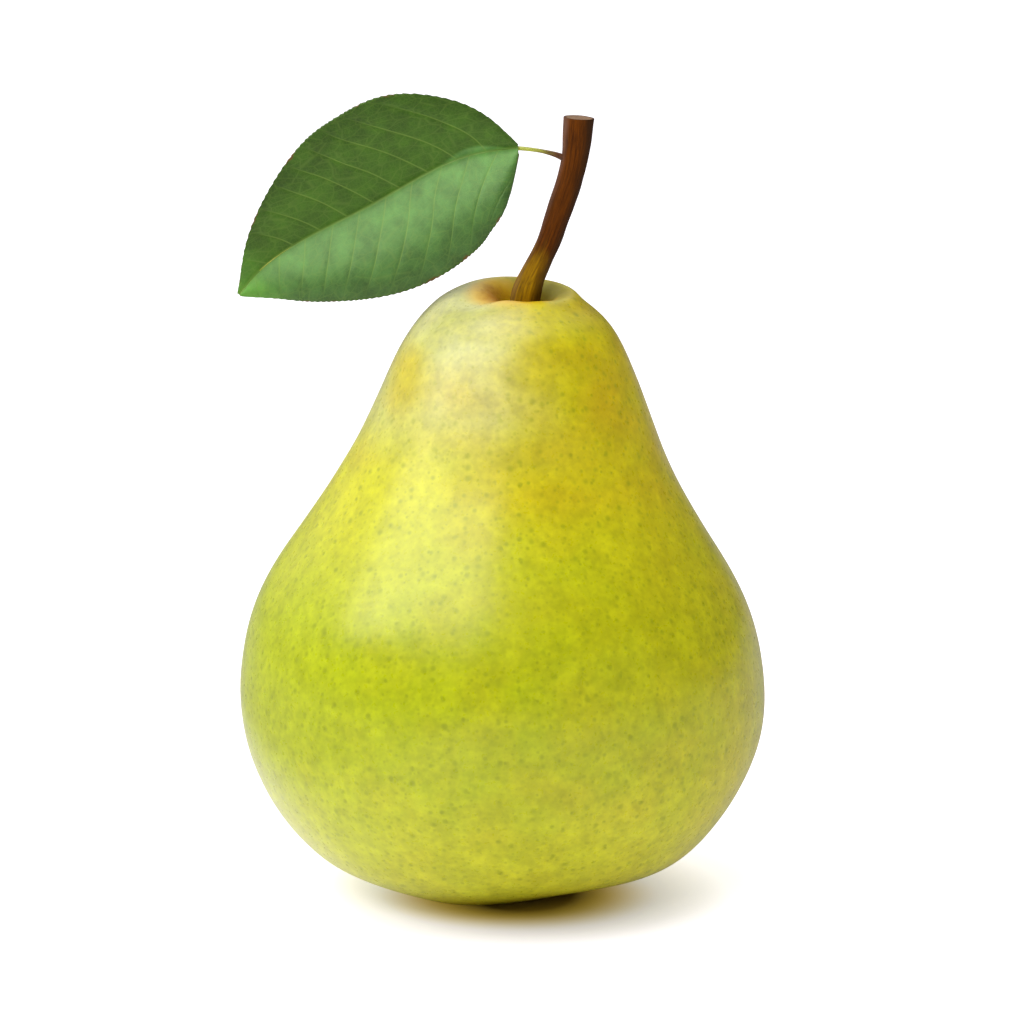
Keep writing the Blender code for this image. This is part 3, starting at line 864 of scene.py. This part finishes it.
def leaf_face(settings, name, blade, gloss, net_relief, painted_shading):
    """One face of the leaf, a cuticle over green cells: smooth, half glossy above, pale and dull below."""
    material, add = new_material(name)
    flat, phase, reach, margin, share, half, out = (
        add("Attribute", output="Vector" if name == "flat" else "Fac", attribute_name=name)
        for name in ("flat", "phase", "reach", "margin", "share", "half", "out")
    )
    # Side veins, where the phase is whole, 0.3 mm wide and thinning out towards the margin.
    near = add("Math", (phase, 0.5), operation="PINGPONG")
    side = add("MapRange", (near, 0.01, 0.05, 1.0, 0.0), **SMOOTH)
    thin = add("MapRange", (margin, 0.4, 5.0, 0.06, 0.42))
    side = add("Math", (side, thin), operation="MULTIPLY")
    midrib = add("MapRange", (reach, 0.08, 0.42, 0.5, 0.0), **SMOOTH)
    # Ladder veins: crooked rungs between the side veins, about 1.2 mm apart.
    up = add("Math", (reach, 0.85), operation="MULTIPLY")
    beside = add("Math", (phase, 1.7), operation="MULTIPLY")
    rungs = add("CombineXYZ", (beside, up))
    ladder = add("TexVoronoi", {"Vector": rungs, "Scale": 1.0}, "Distance", feature="DISTANCE_TO_EDGE")
    ladder = add("MapRange", (ladder, 0.0, 0.07, 0.17, 0.0), **SMOOTH)
    # The net between them has meshes 0.5 mm across.
    net = add("TexVoronoi", {"Vector": flat, "Scale": 2.1}, "Distance", feature="DISTANCE_TO_EDGE")
    net = add("MapRange", (net, 0.0, 0.16, 0.09, 0.0), **SMOOTH)
    veins = add("Math", (side, midrib), operation="MAXIMUM")
    small = add("Math", (ladder, net), operation="MAXIMUM")
    all_veins = add("Math", (veins, small), operation="MAXIMUM")
    # Cells hold more or less chlorophyll in clouds 4 mm and 1 mm across.
    clouds = add("TexNoise", {"Vector": flat, "Scale": 0.3, "Detail": 6.0, "Roughness": 0.62})
    # Painted light and shade: the lower half takes the lit green, the upper half the shaded one.
    green = add("Mix", {0: half, 6: blade[1], 7: blade[0]}, **COLOURS)
    # Painted shading: paler along the midrib and darker towards the margin, most on the lower half.
    lower = add("MapRange", (out, 0.2, 1.0, 1.0 + painted_shading, 1.0 - painted_shading))
    upper = add("MapRange", (out, 0.4, 1.0, 1.03, 1.0 - 0.7 * painted_shading))
    depth = add("Mix", {0: half, 2: lower, 3: upper}, 0)
    green = add("VectorMath", {0: green, "Scale": depth}, operation="SCALE")
    fresh = add("MapRange", (share, 0.84, 1.0, 0.0, 0.7), **SMOOTH)
    green = add("Mix", {0: fresh, 6: green, 7: settings.tip}, **COLOURS)
    green = toned(add, green, clouds, 0.72, 1.28, 0.32, 0.68)
    green = add("Mix", {0: all_veins, 6: green, 7: settings.vein}, **COLOURS)
    # Weather has browned the margin here and there.
    spots = add("TexNoise", {"Vector": flat, "Scale": 0.28, "Detail": 4.0, "Roughness": 0.6})
    edge = add("MapRange", (margin, 0.0, 1.1, 0.34, 0.0))
    spots = add("Math", (spots, edge), operation="ADD")
    spots = add("MapRange", (spots, 0.84, 0.96, 0.0, 0.75), **SMOOTH)
    green = add("Mix", {0: spots, 6: green, 7: settings.browned}, **COLOURS)
    fine = add("TexNoise", {"Vector": flat, "Scale": 6.0, "Detail": 2.0})
    rough = add("MapRange", (fine, 0.3, 0.7, gloss, gloss + 0.12))
    relief = add("Math", (all_veins, -net_relief, fine), operation="MULTIPLY_ADD")
    surface(add, {
        "Base Color": green, "Roughness": rough, "IOR": 1.46, "Specular Tint": (0.9, 1.0, 0.72),
        "Subsurface Weight": 0.08, "Subsurface Radius": (0.4, 1.0, 0.2), "Subsurface Scale": 0.0006,
    }, relief, 0.5, 0.00006)
    return material


def stalk_skin(settings):
    """Leaf stalk: a smooth green rind that browns where it meets the stem."""
    material, add = new_material("leaf_stalk_rind")
    straight = add("Attribute", output="Vector", attribute_name="straight")
    share = add("Attribute", output="Fac", attribute_name="share")
    streak_place = add("Mapping", {"Vector": straight, "Scale": (6.0, 6.0, 0.8)})
    streaks = add("TexNoise", {"Vector": streak_place, "Scale": 1.0, "Detail": 3.0})
    browned = add("Math", (streaks, 0.06, share), operation="MULTIPLY_ADD")
    browned = add("MapRange", (browned, 0.05, 0.14, 1.0, 0.0), **SMOOTH)
    rind = add("Mix", {0: browned, 6: settings.stalk, 7: settings.stalk_foot}, **COLOURS)
    rind = toned(add, rind, streaks, 0.8, 1.2)
    surface(add, {
        "Base Color": rind, "Roughness": 0.42, "IOR": 1.45,
        "Subsurface Weight": 0.1, "Subsurface Radius": (0.5, 0.6, 0.1), "Subsurface Scale": 0.0006,
    }, streaks, 0.4, 0.00005)
    return material


class PEAR_OT_leaf(bpy.types.Operator):
    """Grow the leaf blade and its stalk"""

    bl_idname = "pear.leaf"
    bl_label = "Leaf"
    bl_options = {"REGISTER", "UNDO"}

    def execute(self, context):
        settings = context.scene.pear_leaf
        upper = leaf_face(settings, "leaf_upper_cuticle", (settings.shaded, settings.lit), 0.38, 1.0, 0.42)
        lower = leaf_face(settings, "leaf_under_face", (settings.under, settings.under), 0.6, -1.5, 0.1)
        finish_piece(blade_mesh(settings), [upper, lower], "leaf")
        finish_piece(stalk_mesh(), [stalk_skin(settings)], "leaf")
        return {"FINISHED"}


# The calyx


def sepal_mesh(settings, number):
    turn = math.radians(FIRST_SEPAL + (number - 1) * 360 / SEPALS)
    mesh, share, column = grid(f"calyx_lobe_{number}", settings.rows, settings.columns)
    across = column * 2 - 1
    line = along(SEPAL_LINE, 60)
    radius, height = sample(line, share).T
    half = read(SEPAL_HALF_WIDTH, share)
    sideways = half * across
    where = np.column_stack([share * 5, sideways, share * 0 + number * 7])
    height = height - 0.3 * across**2 * (1 - share) + 0.1 * lumps(where, 1.2, 11)
    sideways = sideways + 0.12 * lumps(where, 1.5, 12)
    cosine, sine = math.cos(turn), math.sin(turn)
    x, y = radius * cosine - sideways * sine, radius * sine + sideways * cosine
    set_points(mesh, np.column_stack([x, y, height]))
    set_attributes(mesh, flat=where, margin=(1 - np.abs(across)) * half)
    return thicken(add_object(f"calyx_lobe_{number}", mesh), settings.thickness)


def tuft_mesh(settings):
    """Dried stamens and styles, bent together in the throat of the calyx."""
    curve = bpy.data.curves.new("stamens", "CURVE")
    curve.dimensions = "3D"
    curve.bevel_depth = MM
    curve.bevel_resolution = 2
    curve.use_fill_caps = True
    for i in range(settings.filaments):
        turn = i * FILAMENT_TURN
        spread = math.sqrt((i + 0.5) / settings.filaments)
        bend = noise.noise(Vector((i * 1.7, 3.1, 0.4)))
        spine = curve.splines.new("POLY")
        spine.points.add(FILAMENT_STEPS)
        for step, point in enumerate(spine.points):
            share = step / FILAMENT_STEPS
            radius = spread * (0.7 + 0.75 * share)
            angle = turn + bend * share * 1.5
            height = FILAMENT_TOP - (3.2 + 0.8 * bend - 0.5 * spread) * share
            point.co = (radius * math.cos(angle) * MM, radius * math.sin(angle) * MM, height * MM, 1)
            point.radius = {FILAMENT_STEPS: 0.2, FILAMENT_STEPS - 1: 0.14}.get(step, 0.1)
    holder = add_object("stamens_line", curve)
    graph = bpy.context.evaluated_depsgraph_get()
    mesh = bpy.data.meshes.new_from_object(holder.evaluated_get(graph))
    bpy.data.objects.remove(holder)
    mesh.shade_smooth()
    points = points_of(mesh)
    set_attributes(mesh, flat=points, margin=np.full(len(points), 0.3))
    return add_object("stamens", mesh)


def dried_calyx(settings):
    """Dried sepal: shrunken brown tissue, dull, with pale edges and hairs."""
    material, add = new_material("calyx_dried")
    flat = add("Attribute", output="Vector", attribute_name="flat")
    margin = add("Attribute", output="Fac", attribute_name="margin")
    # Wrinkles 0.4 mm apart run along the sepal.
    wrinkle_place = add("Mapping", {"Vector": flat, "Scale": (0.6, 2.5, 1.0)})
    wrinkles = add("TexNoise", {"Vector": wrinkle_place, "Scale": 1.0, "Detail": 5.0, "Roughness": 0.7})
    edge = add("MapRange", (margin, 0.0, 0.25, 0.7, 0.0))
    pale = add("MapRange", (wrinkles, 0.45, 0.75))
    pale = add("Math", (pale, edge), operation="MAXIMUM")
    brown = add("Mix", {0: pale, 6: settings.dried, 7: settings.pale}, **COLOURS)
    rough = add("MapRange", (wrinkles, 0.3, 0.7, 0.75, 0.9))
    surface(add, {"Base Color": brown, "Roughness": rough, "IOR": 1.45}, wrinkles, 0.8, 0.0001)
    return material


class PEAR_OT_calyx(bpy.types.Operator):
    """Grow the dried calyx: five sepals and a tuft of stamens"""

    bl_idname = "pear.calyx"
    bl_label = "Calyx"
    bl_options = {"REGISTER", "UNDO"}

    def execute(self, context):
        settings = context.scene.pear_calyx
        material = dried_calyx(settings)
        for number in range(1, SEPALS + 1):
            finish_piece(sepal_mesh(settings, number), [material], f"sepal_{number}")
        finish_piece(tuft_mesh(settings), [material], "stamen_tuft")
        return {"FINISHED"}


# The stage


def area_light(name, direction, distance, width, height, roll, radiance):
    """A softbox as bright as radiance all over, which looks at the lit point from this direction."""
    light = bpy.data.lights.new(name, "AREA")
    light.shape = "RECTANGLE"
    light.size, light.size_y = width, height
    light.energy = radiance * math.pi * width * height
    obj = bpy.data.objects.new(name, light)
    bpy.context.scene.collection.objects.link(obj)
    direction = Vector(direction).normalized()
    obj.location = Vector(LIT_POINT) + direction * distance
    turn = Quaternion((0, 0, 1), math.radians(roll))
    obj.rotation_euler = (direction.to_track_quat("Z", "Y") @ turn).to_euler()
    return obj


def floor_material(settings):
    """A matt white floor that glows everywhere but in an oval under the pear, which paints a soft shadow
    there, with painted shade and bounce light at the foot.
    """
    material, add = new_material("floor_opal_acrylic")
    place = add("TexCoord", output="Object")
    fibres = add("TexNoise", {"Vector": place, "Scale": 900.0, "Detail": 2.0})
    white = toned(add, settings.floor, fibres, 0.99, 1.0, 0.0, 1.0)
    # Painted shadow and bounce light: the floor is darker and warmer where the pear stands.
    foot = add("Mapping", {"Vector": place, "Location": FOOT_SHIFT})
    foot = add("VectorMath", {0: foot}, 1, operation="LENGTH")
    foot = add("MapRange", (foot, *FOOT_FADE, 1.0, 0.0), **SMOOTH)
    white = add("Mix", {0: foot, 6: white, 7: settings.foot}, **COLOURS)
    # Painted shadow: the floor glows everywhere but in an oval under the pear.
    away = add("Mapping", {"Vector": place, "Location": SHADOW_SHIFT, "Scale": SHADOW_STRETCH})
    away = add("VectorMath", {0: away}, 1, operation="LENGTH")
    glow = add("MapRange", (away, *SHADOW_FADE, 0.0, settings.table))
    # Painted reflection: the floor is dimmer in the object's gloss than to the camera, least so near
    # DIM_SIDE on the left.
    mirrored = add("LightPath", output="Is Glossy Ray")
    level = add("Math", (add("SeparateXYZ", {0: place}, "X"), DIM_SIDE))
    level = add("Math", {0: level}, operation="ABSOLUTE")
    level = add("MapRange", (level, *DIM_FADE, *DIM_LEVELS))
    mirrored = add("MapRange", {0: mirrored, 3: 1.0, 4: level})
    glow = add("Math", (glow, mirrored), operation="MULTIPLY")
    white = add("VectorMath", {0: white, "Scale": mirrored}, operation="SCALE")
    # Painted bounce light: the floor's glow is warmer at the foot.
    warm = add("Mix", {0: foot, 6: (1, 1, 1), 7: FOOT_PAINTED_BOUNCE}, **COLOURS)
    surface(add, {
        "Base Color": white, "Roughness": 0.9, "Specular IOR Level": 0.1,
        "Emission Color": warm, "Emission Strength": glow,
    })
    return material


class PEAR_OT_stage(bpy.types.Operator):
    """Set up the floor, the lights and the camera"""

    bl_idname = "pear.stage"
    bl_label = "Stage"
    bl_options = {"REGISTER", "UNDO"}

    def execute(self, context):
        settings = context.scene.pear_stage
        scene = context.scene
        mesh = bpy.data.meshes.new("studio_floor")
        cage = bmesh.new()
        bmesh.ops.create_circle(cage, cap_ends=True, segments=96, radius=settings.floor_radius)
        cage.to_mesh(mesh)
        cage.free()
        floor = bpy.data.objects.new("studio_floor", mesh)
        scene.collection.objects.link(floor)
        floor.location.z = -FLOOR_DROP
        mesh.materials.append(floor_material(settings))

        for setting, (*placing, hidden_from) in LIGHTS.items():
            light = area_light(*placing, getattr(settings, setting))
            if hidden_from:
                setattr(light, hidden_from, False)

        world = bpy.data.worlds.new("studio")
        world.use_nodes = True
        scene.world = world
        world.node_tree.nodes.clear()
        add = partial(add_node, world.node_tree)
        # The ceiling is pale behind and to the left, the room in front is dark, the backdrop white.
        direction = add("TexCoord", output="Generated")
        facing = add("VectorMath", (direction, CEILING_SIDE), 1, operation="DOT_PRODUCT")
        light = add("MapRange", (facing, 0.35, 1.05, ROOM_DARK, settings.surround), **SMOOTH)
        seen = add("LightPath", output="Is Camera Ray")
        light = add("Math", (light, seen), operation="MAXIMUM")
        background = add("Background", {"Color": (1, 1, 1), "Strength": light})
        add("OutputWorld", {0: background}, None)

        camera = bpy.data.cameras.new("camera")
        camera.lens, camera.sensor_width = LENS, SENSOR
        camera.clip_start, camera.clip_end = 0.05, 20.0
        viewer = bpy.data.objects.new("camera", camera)
        scene.collection.objects.link(viewer)
        elevation = math.radians(CAMERA_ELEVATION)
        back = Vector((0, -math.cos(elevation), math.sin(elevation)))
        viewer.location = Vector(CAMERA_AIM) + back * CAMERA_DISTANCE
        viewer.rotation_euler = (math.radians(90) - elevation, 0, 0)
        scene.camera = viewer
        scene.view_settings.view_transform = "Standard"
        return {"FINISHED"}


class PEAR_PT_sidebar(bpy.types.Panel):
    bl_label = "Pear"
    bl_idname = "PEAR_PT_sidebar"
    bl_space_type = "VIEW_3D"
    bl_region_type = "UI"
    bl_category = "Pear"

    def draw(self, context):
        for operator in OPERATORS:
            box = self.layout.box()
            box.operator(operator.bl_idname)
            settings = getattr(context.scene, operator.bl_idname.replace(".", "_"))
            for name in settings.__annotations__:
                box.prop(settings, name)


OPERATORS = [PEAR_OT_fruit, PEAR_OT_stem, PEAR_OT_leaf, PEAR_OT_calyx, PEAR_OT_stage]
CLASSES = [*SETTINGS.values(), *OPERATORS, PEAR_PT_sidebar]


def register():
    for kind in CLASSES:
        bpy.utils.register_class(kind)
    for name, kind in SETTINGS.items():
        setattr(bpy.types.Scene, name, bpy.props.PointerProperty(type=kind))


def unregister():
    for name in SETTINGS:
        delattr(bpy.types.Scene, name)
    for kind in reversed(CLASSES):
        bpy.utils.unregister_class(kind)


def main():
    register()
    bpy.ops.pear.fruit()
    bpy.ops.pear.stem()
    bpy.ops.pear.leaf()
    bpy.ops.pear.calyx()
    bpy.ops.pear.stage()


if __name__ == "__main__":
    main()
